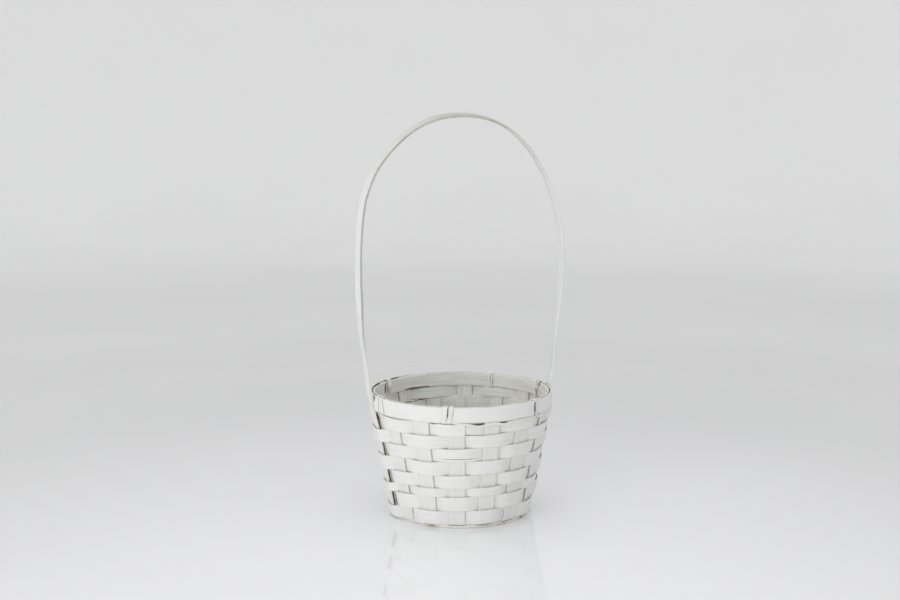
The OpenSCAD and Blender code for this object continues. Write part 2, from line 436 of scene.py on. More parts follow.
def wood_relief(nodes, texture, bare_and_shade_mix, grain):
    """Grooves along the grain, pores, and a step down where the bare-wood colour shows, painted shade
    included.
    """
    pores = nodes.math("MULTIPLY", texture["pores"], 0.8)
    relief = nodes.math("SUBTRACT", nodes.math("MULTIPLY", texture["fine"], -0.6), pores)
    relief = nodes.math("SUBTRACT", relief, nodes.math("MULTIPLY", bare_and_shade_mix, 0.5))
    coarse = nodes.bump(texture["broad"], 0.28 * MM, 0.35 * grain)
    return nodes.bump(relief, 0.12 * MM, 0.55 * grain, coarse)


def painted_wood(name, paint, shade, grain=1.0, wear=1.0, thin=(THIN_PAINT, THIN_SHADE),
                 bare=(BARE_AND_SHADE_LIGHT, BARE_AND_SHADE_DARK)):
    """White paint brushed over split wood.

    paint and shade are the colours on the face and in the grain lines, grain the depth of the
    grain, wear how much bare wood shows at the edges, and thin and bare the two colours each of the
    thin paint and of the bare wood; the bare-wood colours also serve as painted shade where a strip is
    marked for it.
    """
    material = bpy.data.materials.new(name)
    nodes = Nodes(material)
    texture = wood_textures(nodes)
    colour = paint_colour(nodes, texture, paint, shade, grain, thin)
    wood = nodes.mix(nodes.remap(texture["fine"], 0.35, 0.7), *bare)
    bare_and_shade_mix = bare_and_shade_share(nodes, texture, wear)
    fine_part = nodes.math("MULTIPLY", texture["fine"], 0.6)
    unevenness = nodes.math("ADD", fine_part, nodes.math("MULTIPLY", texture["patches"], 0.4))
    gloss = nodes.remap(unevenness, 0.3, 0.7, 0.4, 0.64)
    nodes.fill(nodes.shader, {
        "Base Color": nodes.mix(bare_and_shade_mix, colour, wood),
        "Roughness": nodes.math("ADD", gloss, nodes.math("MULTIPLY", bare_and_shade_mix, 0.2), clamp=True),
        "Normal": wood_relief(nodes, texture, bare_and_shade_mix, grain),
        "Specular IOR Level": 0.42,
    })
    return material


def tack_material():
    """Steel with thin, chipped white paint."""
    material = bpy.data.materials.new("painted_tack")
    nodes = Nodes(material)
    chips = nodes.noise(nodes.object_space(), scale=900, detail=4, roughness=0.65)
    mask = nodes.remap(chips, 0.5, 0.6)
    nodes.fill(nodes.shader, {
        "Base Color": nodes.mix(mask, (0.78, 0.77, 0.73, 1), (0.30, 0.27, 0.24, 1)),
        "Metallic": nodes.math("MULTIPLY", mask, 0.9),
        "Roughness": nodes.remap(chips, 0.3, 0.7, 0.32, 0.55),
        "Normal": nodes.bump(chips, 0.1 * MM, 0.5),
    })
    return material


WEAVER_PAINT = painted_wood("weaver_paint", (0.85, 0.855, 0.84, 1), (0.70, 0.69, 0.65, 1))
STAKE_PAINT = painted_wood("stake_paint", (0.83, 0.835, 0.815, 1), (0.66, 0.65, 0.61, 1), grain=1.2)
RIM_PAINT = painted_wood("rim_paint", (0.85, 0.855, 0.84, 1), (0.72, 0.70, 0.65, 1), grain=0.7)
BINDER_PAINT = painted_wood("binder_paint", (0.83, 0.83, 0.80, 1), (0.66, 0.63, 0.57, 1), grain=0.9,
                            wear=1.5)
# The handle's thin colours are a dark grey: thin paint, and also painted shade over the apex.
HANDLE_PAINT = painted_wood("handle_paint", (0.82, 0.835, 0.80, 1), (0.69, 0.69, 0.64, 1), grain=0.7,
                            wear=0.1, thin=((0.50, 0.49, 0.45, 1), (0.40, 0.39, 0.34, 1)))
FOOT_WOOD = painted_wood("foot_wood", (0.83, 0.82, 0.79, 1), (0.62, 0.55, 0.45, 1), grain=1.1, wear=1.0,
                         bare=((0.50, 0.31, 0.19, 1), (0.28, 0.16, 0.09, 1)))
TACK_METAL = tack_material()


# ---- Woven wall ----

WEAVE_OUT = 2.0 * MM
WEAVE_IN = 1.2 * MM
WEAVE_OVER_LEG = 4.5 * MM
WEAVE_HOLD = 0.2
STEPS_PER_PITCH = 22
ROW_GAP = 0.12 * MM
LAP = 0.95 * MM
VIEW_LAP_LENGTH = 0.55
HIDDEN_LAP_LENGTH = 2.0

# The crack along one of the rows. Its place and half length are in pitches.
CRACK_ROW = 3
CRACK_PLACE = 3.02
CRACK_HALF_LENGTH = 0.6

row_boxes = [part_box(f"weaver_{row}") for row in range(1, ROWS + 1)]
boundaries = [row_boxes[0][1].z]
boundaries += [(row_boxes[i][0].z + row_boxes[i + 1][1].z) / 2 for i in range(ROWS - 1)]
boundaries += [row_boxes[-1][0].z]


def soft_limit(z, limit, soft):
    """z held below the limit with a smooth turn where soft is positive, and above it elsewhere."""
    return limit - soft * np.log1p(np.exp(np.clip((limit - z) / soft, -30, 30)))


def boundary_z(index, position):
    """Height of the seam under row number index, which dips at the -X leg and rises behind it."""
    rng = np.random.default_rng(300 + index)
    share = 1 - index / ROWS
    away_from_leg = wrapped(position, 0) * PITCH
    leg_dip = np.exp(-(away_from_leg / math.radians(18)) ** 2)
    lift = 0.3 + 1.2 * share - 2.5 * np.cos(away_from_leg) - (4.6 - 1.8 * share) * leg_dip
    lift -= (2.3 - 1.6 * share) * bump(wrapped(position, 6.2), 0, 3.0)
    wave = ring_waviness(rng, np.asarray(position, float), 3, 14, 0.35 * MM)
    if index == 0:
        lift = 0.9 + 0.35 * lift + 1.2 * bump(wrapped(position, 12.5), 0, 5)
    z = boundaries[index] + lift * MM + wave
    if index == 0:
        z = soft_limit(z, rim_bottom - 0.7 * MM, 0.8 * MM)
    if index == ROWS:
        z = soft_limit(z, 1.2 * MM, -1.2 * MM)
    return z


def stake_offset(row, stake, rng_floats):
    """How far a row's middle stands out from the stakes' middle where it passes a stake."""
    stake = stake % STAKES
    if (row + stake) % 2 == 1:
        return -WEAVE_IN + rng_floats[stake] * 0.12 * MM
    if stake % (STAKES // 2) == 0:
        return WEAVE_OVER_LEG
    return WEAVE_OUT + rng_floats[stake] * 0.3 * MM


def weave_offset(row, positions, rng_floats):
    """How far the row's middle stands out along it, which doesn't change close to a stake."""
    stake = np.floor(positions).astype(int)
    share = smooth((positions - stake - WEAVE_HOLD) / (1 - 2 * WEAVE_HOLD))
    here = np.array([stake_offset(row, s, rng_floats) for s in stake])
    there = np.array([stake_offset(row, s + 1, rng_floats) for s in stake])
    return here + (there - here) * share


# The stake behind which each row's end begins its double lap; row 1 laps in full view instead.
LAP_STAKES = (2.68, 11, 10, 13, 12, 9, 14, 11)

# Painted shade on the top row under the hoop and its binder strip, in bare-wood colour, also where the
# binder kept the paint off.
SHADE_UNDER_RIM_SPOTS = (
    (2.35, rim_bottom - 1.0 * MM, 9 * MM, 1.5 * MM),
    (3.58, rim_bottom - 1.3 * MM, 12 * MM, 2.6 * MM),
    (4.3, rim_bottom - 1.2 * MM, 9 * MM, 2.4 * MM),
    (6.15, rim_bottom - 1.0 * MM, 8 * MM, 3.0 * MM),
)
# Painted shade along the inner edges of the top rows at the back left, in bare-wood colour.
SHADE_BACK_LEFT_SPOTS = ((12.7, boundaries[1], 34 * MM, 24 * MM),)


def lap_offset(positions, start, lap, in_view):
    """How far the row's ends stand off its middle where they lie over each other."""
    if in_view:
        return LAP * smooth((positions - start - STAKES + 0.25) / 0.3)
    begun = np.clip((positions - start) / lap, 0, 1)
    ending = np.clip((positions - start - STAKES) / lap, 0, 1)
    first_after = smooth(1 - (positions - start - lap) / 0.5)
    under = np.where(positions < start + lap, np.cos(math.pi * begun) ** 2, first_after)
    over = np.where(positions > start + STAKES, np.sin(math.pi * ending) ** 2, 0)
    return LAP * (over - under)


def row_edges(row, positions, start, in_view):
    """Heights of the row's upper and lower edge."""
    high = boundary_z(row - 1, positions) - ROW_GAP / 2
    low = boundary_z(row, positions) + ROW_GAP / 2
    high -= 0.25 * MM * (0.5 + 0.5 * np.cos(math.tau * (positions + row) / 2))
    if in_view:
        thin = smooth((positions - start) / 1.1)
        low = low + (1 - thin) * 4.5 * MM * smooth((positions - start - 0.2) / 0.4)
    return high, low


def weaver_parts(row):
    rng = np.random.default_rng(40 + row)
    rng_floats = rng.uniform(-1, 1, STAKES)
    start = float(LAP_STAKES[row - 1])
    in_view = row == 1
    lap = VIEW_LAP_LENGTH if in_view else HIDDEN_LAP_LENGTH
    if not in_view and (row + int(start)) % 2 == 0:
        start += 1
    positions = np.linspace(start, start + STAKES + lap, int((STAKES + lap) * STEPS_PER_PITCH))
    offset = weave_offset(row, positions, rng_floats) + lap_offset(positions, start, lap, in_view)
    high, low = row_edges(row, positions, start, in_view)
    middle = (high + low) / 2
    tilt = waviness(rng, positions, 2.6, 0.028)
    r = wall_r(middle) + offset
    ring = radial(positions)
    points = round_axis(positions, r, middle)
    along = path_tangents(points)
    across = unit(ring * (wall_lean + tilt)[:, None] + UP)
    out = unit(np.cross(along, across))
    across = unit(np.cross(out, along))
    half = (high - low) / 2 * math.sqrt(1 + wall_lean ** 2)
    groove = None
    if row == CRACK_ROW:
        from_middle = wrapped(positions, CRACK_PLACE) / CRACK_HALF_LENGTH
        opened = np.sqrt(np.clip(1 - from_middle ** 2, 0, 1))
        groove = (0.2, 0.02 * MM + 0.42 * MM * opened, 0.75 * MM * opened)
    crown = 0.12 * MM * bump(positions % 2, (row % 2), 0.9)
    # Painted shade in the slots beside the handle's legs, as bare wood on the rows' inner faces.
    slot_shade_by_legs = bump(wrapped(positions, 0), 0, 0.9) + bump(wrapped(positions, STAKES / 2), 0, 0.9)
    strip = Strip(points, across, out, half, SPLINT_T / 2, crown=crown, seed=row * 1.7,
                  groove=groove, inner_bare=0.15 + 0.35 * slot_shade_by_legs)
    if row == 1:
        strip.add_bare_and_shade(bare_and_shade_spots(strip.points, SHADE_UNDER_RIM_SPOTS) * (1 - strip.inner))
    if row <= 2:
        strip.add_bare_and_shade(bare_and_shade_spots(strip.points, SHADE_BACK_LEFT_SPOTS) * strip.inner * strip.edge ** 2)
    return [strip.arrays()]


def build_weavers():
    for row in range(1, ROWS + 1):
        add_piece(f"woven_row_{row}", weaver_parts(row), WEAVER_PAINT, [f"weaver_{row}"])


# ---- Stake splints ----

WAIST_HALF = 4.6 * MM
STAKE_HALF = 7.75 * MM
BASE_Z = foot_height + 0.05 * MM + SPLINT_T / 2
STACK_Z = 1.45 * MM
STACK_STEP = 0.95 * MM
SPREAD = math.tan(PITCH / 2)
STACK_R = (WAIST_HALF + 0.15 * MM) / SPREAD + 0.2 * MM
LEVEL_R = (STAKE_HALF + 0.15 * MM) / SPREAD


def splint_profile(level):
    """Half of a splint's path as (radius, height), from the middle of the base to its tip."""
    corner = np.array([wall_r(BASE_Z), BASE_Z])
    start = np.array([corner[0] - 2.8 * MM, BASE_Z])
    end = np.array([wall_r(BASE_Z + 3.3 * MM), BASE_Z + 3.3 * MM])
    middle_z = STACK_Z + level * STACK_STEP
    share = np.linspace(0, 1, 9)[:, None]
    bend = (1 - share) ** 2 * start + 2 * share * (1 - share) * corner + share ** 2 * end
    return np.concatenate([
        [[0, middle_z], [STACK_R, middle_z], [LEVEL_R, BASE_Z]],
        bend,
        [[rim_stake_r, upright_z], [rim_stake_r, rim_top - 0.4 * MM]],
    ])


def stake_push(position, z):
    """The weavers press a stake in where they pass outside it and out where they pass inside."""
    push = np.zeros_like(z)
    for row in range(1, ROWS + 1):
        low, high = boundaries[row], boundaries[row - 1]
        sign = 1 if (row + int(position)) % 2 == 1 else -1
        push += sign * bump(z, (low + high) / 2, (high - low) * 0.75)
    return 0.22 * MM * push


def splint_parts(number):
    rng = np.random.default_rng(90 + number)
    level = number - 1
    profile = smoothed(resampled(splint_profile(level), 1.6 * MM), 2)
    mirrored = np.concatenate([profile[:0:-1] * [-1, 1], profile])
    reach, height = mirrored.T
    length = path_length(mirrored)
    direction, side = radial(level), tangent(level)
    on_wall = smooth((height - 8 * MM) / (6 * MM)) * smooth((rim_bottom - height) / (6 * MM))
    push = np.where(reach < 0, -stake_push(level + STAKES // 2, height), stake_push(level, height))
    pushed = reach + push * on_wall * (0 if level == 0 else 1)
    sway = waviness(rng, length, 70 * MM, 0.35 * MM) * on_wall
    points = direction * pushed[:, None] + side * sway[:, None] + UP * height[:, None]
    along = path_tangents(points)
    across = np.broadcast_to(side, points.shape)
    out = unit(np.cross(across, along))
    spread = smooth((np.abs(reach) - STACK_R) / (LEVEL_R - STACK_R))
    half_w = WAIST_HALF + (STAKE_HALF - WAIST_HALF) * spread
    half_w += waviness(rng, length, 40 * MM, 0.12 * MM) * on_wall - 0.05 * MM
    strip = Strip(points, across, out, half_w, SPLINT_T / 2, seed=20 + number * 2.3, inner_bare=0.12)
    # Splint 1's outer face takes bare wood under the legs; this also paints shade in the slots beside them.
    if level == 0:
        strip.bare += 0.6 * on_wall[:, None] * (1 - strip.inner)
    return [strip.arrays()]


def build_splints():
    for number in range(1, STAKES // 2 + 1):
        add_piece(f"splint_{number}", splint_parts(number), STAKE_PAINT,
                  [f"stake_splint_{number}"])


# ---- Rim hoops ----

# Narrow painted shadows on the hoops beside and behind the lashings' strands, in bare-wood colour.
SHADOWS_BESIDE_LASHINGS = (
    (0.53, rim_middle + 1 * MM, 1.8 * MM, 8 * MM),
    (2.775, rim_middle + 3 * MM, 0.9 * MM, 9 * MM),
    (2.72, rim_bottom + 1.5 * MM, 1.2 * MM, 3 * MM),
    (5.40, rim_middle, 1.2 * MM, 11 * MM),
)
SHADOWS_BEHIND_LASHINGS = (
    (8.05, rim_top - 1.5 * MM, 2.2 * MM, 3 * MM),
    (10.14, rim_middle + 1 * MM, 1.4 * MM, 9 * MM),
    (14.0, rim_middle - 1 * MM, 2.2 * MM, 9 * MM),
)
# Larger patches of painted shade on the hoops, in bare-wood colour: in the gap between the hoops at the
# back left, along the inner hoop's lower edge, and weaker on its inner face at the left.
SHADED_HOOP_GAP = ((14.0, rim_top, 80 * MM, 8 * MM),)
SHADED_LOWER_EDGE = ((12.6, rim_bottom, 26 * MM, 2 * MM),)
SHADED_INNER_LEFT = ((15.1, rim_middle, 40 * MM, 16 * MM),)

HOOP_WAVE = 0.18 * MM


def hoop_strip(outer_r, seam, lap_length, seed, edge_bare, sink=None):
    """A bent hoop whose tapered ends lap over each other at the seam. sink is where and how far it
    sits low, as (place, half length in pitches, depth)."""
    rng = np.random.default_rng(seed)
    middle_r = outer_r - HOOP_T / 2
    lap = lap_length / (middle_r * PITCH)
    positions = np.linspace(seam, seam + STAKES + lap, 620)
    begun = smooth((positions - seam) / lap)
    ended = smooth((seam + STAKES + lap - positions) / lap)
    full = HOOP_T / 2 - 0.02 * MM
    least = 0.16 * MM
    half_t = least + (full - least) * np.minimum(begun, ended)
    r = middle_r - (full - half_t) * (begun < 1) + (full - half_t) * (ended < 1)
    z = rim_middle + ring_waviness(rng, positions, 2, 6, HOOP_WAVE)
    if sink:
        place, half_length, depth = sink
        z = z - depth * bump(wrapped(positions, place), 0, half_length)
    points = round_axis(positions, r, z)
    along = path_tangents(points)
    across = np.broadcast_to(UP, points.shape)
    out = unit(np.cross(along, across))
    half_h = (rim_top - rim_bottom) / 2 + ring_waviness(rng, positions, 5, 16, 0.1 * MM) - 0.15 * MM
    return Strip(points, across, out, half_h, half_t, round_r=0.45 * MM, seed=seed, edge_bare=edge_bare)


def build_hoops():
    outer = hoop_strip(outer_rim_r, seam=8.8, lap_length=34 * MM, seed=51, edge_bare=0.1)
    # Painted shade on the hoops, drawn in bare-wood colour.
    outer.add_bare_and_shade(bare_and_shade_spots(outer.points, SHADED_HOOP_GAP) * outer.inner * (1 - outer.edge ** 2))
    outer.add_bare_and_shade(bare_and_shade_spots(outer.points, SHADOWS_BESIDE_LASHINGS) * (1 - outer.inner))
    add_piece("outer_hoop", [outer.arrays()], RIM_PAINT, ["outer_rim_hoop"])
    inner = hoop_strip(inner_rim_r, seam=14.7, lap_length=30 * MM, seed=52, edge_bare=0.3,
                       sink=(14.0, 2.6, 1.3 * MM))
    inner.add_bare_and_shade(bare_and_shade_spots(inner.points, SHADED_LOWER_EDGE))
    inner.add_bare_and_shade(0.35 * bare_and_shade_spots(inner.points, SHADED_INNER_LEFT))
    inner.add_bare_and_shade(bare_and_shade_spots(inner.points, SHADOWS_BEHIND_LASHINGS) * inner.inner)
    add_piece("inner_hoop", [inner.arrays()], RIM_PAINT, ["inner_rim_hoop"])


# ---- Lashings ----

TURN_CORNER = 1.2 * MM
IN_R = inner_rim_r - HOOP_T - 0.3 * MM - BINDER_T / 2
OUT_R = outer_rim_r + LAY_GAP + BINDER_T / 2
LOW_Z = rim_bottom - LAY_GAP - BINDER_T / 2
HIGH_Z = rim_top + LAY_GAP + BINDER_T / 2


def lashing_position(number):
    low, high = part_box(f"lashing_{number}")
    centre = (low + high) / 2
    return ((math.atan2(centre.y, centre.x) - math.pi) / PITCH) % STAKES


def turn_outline():
    """One turn round both hoops as (radius, height), which starts inside, at mid height, and goes
    down first."""
    corners = ((IN_R, LOW_Z, 1, 1), (OUT_R, LOW_Z, -1, 1), (OUT_R, HIGH_Z, -1, -1), (IN_R, HIGH_Z, 1, -1))
    points = [(IN_R, rim_middle)]
    for k, (r, z, sr, sz) in enumerate(corners):
        for i in range(7):
            angle = math.pi + k * math.pi / 2 + i * math.pi / 12
            points.append((
                r + TURN_CORNER * (sr + math.cos(angle)),
                z + TURN_CORNER * (sz + math.sin(angle)),
            ))
    points.append((IN_R, rim_middle))
    return np.array(points)


def binder_strip(points, across, out, half, seed, edge_bare):
    return Strip(points, across, out, half, BINDER_T / 2, round_r=0.2 * MM, seed=seed,
                 edge_bare=edge_bare)


def strand(number, keys, width, proud, proud_in, turn):
    """A turn of binder strip. keys are its places along the rim in millimetres from the lashing's
    middle, at equal shares of the turn. proud and proud_in are how far it stands off outside and
    inside the rim, and turn is its twist there in degrees, towards the next stake where positive."""
    seed = number + keys[2] / 10
    rng = np.random.default_rng(int(abs(seed) * 10) + 700)
    outline = resampled(turn_outline(), 0.45 * MM)
    share = path_length(outline) / path_length(outline)[-1]
    place = lashing_position(number)
    side = MM * np.interp(share, np.linspace(0, 1, len(keys)), keys)
    side = smoothed(side[:, None], 30)[:, 0]
    outside = bump(share, 0.5, 0.22)
    inside = bump(share, 0.0, 0.22) + bump(share, 1.0, 0.22)
    r = outline[:, 0] + MM * (proud * outside - proud_in * inside)
    positions = place + side / (OUT_R * PITCH)
    points = round_axis(positions, r, outline[:, 1])
    points += tangent(place) * waviness(rng, share, 0.7, 0.1 * MM)[:, None]
    along = path_tangents(points)
    across = unit(np.cross(np.cross(along, tangent(positions)), along))
    out = unit(np.cross(along, across))
    angle = math.radians(turn) * np.maximum(outside, inside)[:, None]
    across, out = turned(across, out, angle)
    half = MM * width / 2 + waviness(rng, share, 0.5, 0.08 * MM)
    strip = binder_strip(points, across, out, half, seed=seed, edge_bare=0.2)
    strip.inner[:] = 0.5 * np.clip(inside, 0, 1)[:, None]
    return strip.arrays()


# Each lashing's turns: places, width, stand-off outside and inside, and twist.
LASHING_TURNS = (
    (((-2.5, -2.0, -1.0, -1.5, -2.0), 4.2, 1.5, 0.3, 48), ((9.0, 11.5, 9.2, 5.5, 4.5), 2.6, 0.8, 0.3, 25)),
    (((0.0, 0.8, 1.8, 2.4, 2.0), 4.8, 0.3, 0.2, 0), ((4.5, 4.6, 7.6, 8.4, 7.0), 4.0, 0.5, 0.2, 8)),
    (((-1.5, -1.8, -1.9, -2.3, -2.0), 2.3, 0.6, 0.2, 15), ((1.6, 1.5, 0.4, 0.2, 0.8), 1.5, 0.1, 0.2, 0)),
    (((-6.0, -2.6, -2.0, -7.0, -8.8), 2.6, 0.3, 1.8, 30), ((-3.0, 1.0, 1.5, -2.0, -4.2), 2.0, 0.3, 0.4, 0)),
    (((-4.6, -3.6, -3.0, -3.6, -4.2), 3.4, 0.3, 0.7, 20),
     ((-7.6, -6.0, -1.2, -6.5, -8.2), 2.4, 0.3, 0.3, 0)),
    (((8.0, 5.0, 3.0, 6.5, 8.5), 2.6, 0.3, 1.7, 25), ((4.6, 2.0, 0.5, 3.0, 4.8), 2.8, 0.3, 2.2, 10)),
)


def loose_end():
    """The tail of the binder strip, which sags away from the rim's lower edge past lashing 3."""
    positions = np.linspace(lashing_position(3) - 0.03, lashing_position(3) + 1.05, 60)
    share = np.linspace(0, 1, len(positions))
    sag = 3.2 * bump(share, 0.62, 0.4)
    z = rim_bottom + MM * (-1.8 + 1.4 * share - sag + 1.6 * smooth((share - 0.85) / 0.15))
    r = OUT_R + MM * (0.1 + 0.9 * bump(share, 0.55, 0.45))
    points = round_axis(positions, r, z)
    along = path_tangents(points)
    lean = (0.3 + 0.8 * bump(share, 0.5, 0.5))[:, None]
    across = unit(UP - lean * radial(positions))
    out = unit(np.cross(along, across))
    half = MM * (0.5 + 0.5 * smooth(share / 0.15) * smooth((1 - share) / 0.1))
    return binder_strip(points, across, out, half, seed=3.9, edge_bare=0.3).arrays()


def lashing_parts(number):
    parts = [strand(number, *turn) for turn in LASHING_TURNS[number - 1]]
    if number == 3:
        parts.append(loose_end())
    return parts


def build_lashings():
    for number in range(1, LASHINGS + 1):
        add_piece(f"lashing_wrap_{number}", lashing_parts(number), BINDER_PAINT,
                  [f"lashing_{number}"])


# ---- Binder runs under the outer hoop ----

# Each run's lashings, its drop, half width and how far it is tucked in under the hoop, in
# millimetres, and its sags as (share of the run, half length as a share, depth in millimetres).
RUNS = (
    (1, 2, 0.2, 0.4, 1.0, ((0.5, 0.4, 0.1),)),
    (2, 3, 1.0, 0.95, 0, ((0.345, 0.17, 2.2), (0.585, 0.13, 1.5))),
    (4, 5, 1.0, 1.1, 0, ((0.5, 0.4, 0.5),)),
    (5, 6, 1.0, 1.1, 0, ((0.4, 0.3, 0.5),)),
)


def run_parts(index):
    rng = np.random.default_rng(500 + index)
    first, last, drop, half_width, tuck, sags = RUNS[index]
    margin = 1.6 * MM / (OUT_R * PITCH)
    positions = np.linspace(lashing_position(first) + margin, lashing_position(last) - margin, 170)
    share = np.linspace(0, 1, len(positions))
    z = rim_bottom - drop * MM + waviness(rng, share, 0.5, 0.12 * MM)
    half = half_width * MM + waviness(rng, share, 0.35, 0.08 * MM)
    stand_off = np.full_like(share, -tuck * MM)
    for centre, half_length, depth in sags:
        hill = bump(share, centre, half_length)
        z -= depth * MM * hill
        stand_off += 0.35 * MM * hill
    if index == 1:
        z += 3.2 * MM * smooth(1 - share / 0.16)
    half *= 0.45 + 0.55 * smooth((0.5 - np.abs(share - 0.5)) / 0.05)
    points = round_axis(positions, OUT_R + stand_off, z)
    along = path_tangents(points)
    across = unit(UP - 0.35 * radial(positions))
    out = unit(np.cross(along, across))
    across = unit(np.cross(out, along))
    return [binder_strip(points, across, out, half, seed=70 + index, edge_bare=0.25).arrays()]


def build_runs():
    for index in range(len(RUNS)):
        add_piece(f"binder_strand_{index + 1}", run_parts(index), BINDER_PAINT,
                  [f"binder_run_{index + 1}"])


# ---- Handle ----

HANDLE_T = 2.8 * MM
HANDLE_HALF_W = (handle_hi.y - handle_lo.y) / 2
LEG_OFFSET = SPLINT_T / 2 + 0.15 * MM + HANDLE_T / 2
ARCH_HALF_SPAN = handle_hi.x - HANDLE_T / 2
ARCH_WIDEST_Z = 238.5 * MM
ARCH_POWER = 2.2
LEG_RIM_R = outer_rim_r + LAY_GAP + HANDLE_T / 2
LEG_BOTTOM_Z = handle_lo.z
LEG_CLEAR_Z = row_boxes[1][1].z - 0.5 * MM


def handle_profile():
    """The right half of the handle's path as (x, z), from its apex down to its lower end."""
    top = handle_hi.z - HANDLE_T / 2
    angle = np.linspace(math.pi / 2, 0, 120)
    roundness = 2 / ARCH_POWER
    arch = np.stack([
        ARCH_HALF_SPAN * np.cos(angle) ** roundness,
        ARCH_WIDEST_Z + (top - ARCH_WIDEST_Z) * np.sin(angle) ** roundness,
    ], -1)
    arch[0, 0] = 0
    straight_z = rim_bottom + 9 * MM
    share = np.linspace(1, 0, 60)[1:]
    sides = np.stack([
        LEG_RIM_R + (ARCH_HALF_SPAN - LEG_RIM_R) * np.sin(math.pi / 2 * share),
        straight_z + (ARCH_WIDEST_Z - straight_z) * share,
    ], -1)
    legs = np.array([
        [LEG_RIM_R, rim_bottom],
        [wall_r(LEG_CLEAR_Z) + LEG_OFFSET, LEG_CLEAR_Z],
        [wall_r(LEG_BOTTOM_Z) + LEG_OFFSET, LEG_BOTTOM_Z],
    ])
    return np.concatenate([arch, sides, legs])


# How far the strip's outer face is turned to the front, in degrees, at shares of its length.
HANDLE_TURNS = ((0, 0), (0.125, 0), (0.145, -1), (0.17, -5), (0.19, -5), (0.21, 0), (0.235, 8), (0.31, 8),
                (0.4, 6), (0.5, 9), (0.6, 8), (0.69, 4), (0.72, -3), (0.765, 4), (0.79, 7), (0.81, 14),
                (0.835, 12), (0.86, 14), (0.875, 0), (1, 0))
# How far each leg stands outside its plain curve, in millimetres, at heights in millimetres.
LEFT_BOW = ((112, 0), (120, 0.9), (130, 1.6), (150, 0.2), (180, -0.2), (213, -1.2), (245, -1.2),
            (262, -0.6), (282, 0.5), (303, 2.5), (313, 3.8), (343, 4.2), (355, 2.8), (366, 1.6),
            (380, 0.8), (394, 0))
RIGHT_BOW = ((112, 0), (120, 1.2), (130, 2.6), (148, 1.6), (172, 0), (190, -0.2), (220, 0.6), (261, 2.0),
             (282, 1.9), (303, 1.2), (323, 0.4), (340, 0))


def bow(table, z):
    heights, offsets = zip(*table)
    return MM * np.interp(z / MM, heights, offsets)


def mark_handle_paint(strip):
    """Darker grey on the front edge of the left leg, thin grey paint and painted shade over the apex,
    a darker line along one corner of the right leg, and grey and bare wood on the inner face below
    the rim, which also paint shade in the slots beside the legs.
    """
    x, y, z = np.moveaxis(strip.points, -1, 0)
    inner_face = strip.inner.copy()
    on_edge = np.clip((strip.edge - 0.85) / 0.15, 0, 1) * (y < 0)
    left = smooth((90 * MM - x) / (60 * MM)) * smooth((z - 140 * MM) / (60 * MM))
    on_top = smooth((z - 300 * MM) / (60 * MM))
    dark_corner_line = smooth((x - 60 * MM) / (30 * MM)) * bump(z, 250 * MM, 130 * MM)
    strip.inner = inner_face * (0.08 + 0.4 * smooth((rim_top - z) / (4 * MM))) * (1 - on_edge)
    strip.inner = np.maximum(strip.inner, on_edge * left)
    # Painted shade over the apex: the top faces take the handle's dark grey.
    strip.inner = np.maximum(strip.inner, (0.12 + 0.65 * bump(x, 10 * MM, 130 * MM)) * on_top)
    strip.bare[:, 1:3] += 0.4 * dark_corner_line[:, 1:3]
    # Bare wood on the leg's inner face below the rim, also painted shade in the slots beside the leg.
    strip.bare += 0.7 * smooth((rim_bottom - z) / (6 * MM)) * inner_face


def handle_parts():
    rng = np.random.default_rng(8)
    half = resampled(handle_profile(), 2.5 * MM)
    path = np.concatenate([half[:0:-1] * [-1, 1], half])
    path[:, 0] += np.where(path[:, 0] < 0, -bow(LEFT_BOW, path[:, 1]), bow(RIGHT_BOW, path[:, 1]))
    path = smoothed(path, 3)
    length = path_length(path)
    share = length / length[-1]
    points = np.stack([path[:, 0], waviness(rng, length, 260 * MM, 0.25 * MM), path[:, 1]], -1)
    along = path_tangents(points)
    side = np.broadcast_to(np.array([0.0, 1.0, 0.0]), points.shape)
    face = unit(np.cross(along, side))
    shares, turns = zip(*HANDLE_TURNS)
    angle = smoothed(np.interp(share, shares, np.radians(turns))[:, None], 20)
    across, out = turned(side, face, angle)
    width = HANDLE_HALF_W - 0.3 * MM + waviness(rng, length, 120 * MM, 0.12 * MM)
    half_t = HANDLE_T / 2 - 0.05 * MM + waviness(rng, length, 90 * MM, 0.04 * MM)
    strip = Strip(points, across, out, width, half_t, round_r=0.5 * MM, seed=3.3)
    mark_handle_paint(strip)
    return [strip.arrays()]


def build_handle():
    add_piece("handle_strip", handle_parts(), HANDLE_PAINT, ["handle"])


# ---- Tacks ----

def tack_arrays(side, tack_z):
    """A domed tack head on the outside of a leg, with its shank through the rim. Its profile is
    (radius, distance out from the leg's face) in millimetres."""
    face_r = LEG_RIM_R + HANDLE_T / 2 - 0.05 * MM
    profile = [(0.0, 0.62), (0.5, 0.58), (1.0, 0.46), (1.4, 0.26), (1.62, 0.06), (1.58, -0.04),
               (0.6, -0.05), (0.55, -7.5), (0.0, -7.8)]
    around = 28
    vertices, faces = [], []
    for r, height in profile:
        for i in range(around):
            angle = math.tau * i / around
            x = side * (face_r + height * MM)
            vertices.append((x, r * MM * math.cos(angle), tack_z + r * MM * math.sin(angle)))
    for k in range(len(profile) - 1):
        for i in range(around):
            j = (i + 1) % around
            faces.append((k * around + i, k * around + j, (k + 1) * around + j, (k + 1) * around + i))
    return np.array(vertices), faces, {}


def build_tacks():
    low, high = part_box("handle_tacks")
    tack_z = (low.z + high.z) / 2
    pair = [tack_arrays(-1, tack_z), tack_arrays(1, tack_z)]
    piece = add_piece("tack_pair", pair, TACK_METAL, ["handle_tacks"])
    form = bmesh.new()
    form.from_mesh(piece.data)
    bmesh.ops.remove_doubles(form, verts=form.verts, dist=0.005 * MM)
    form.to_mesh(piece.data)
    form.free()


# ---- Foot ----

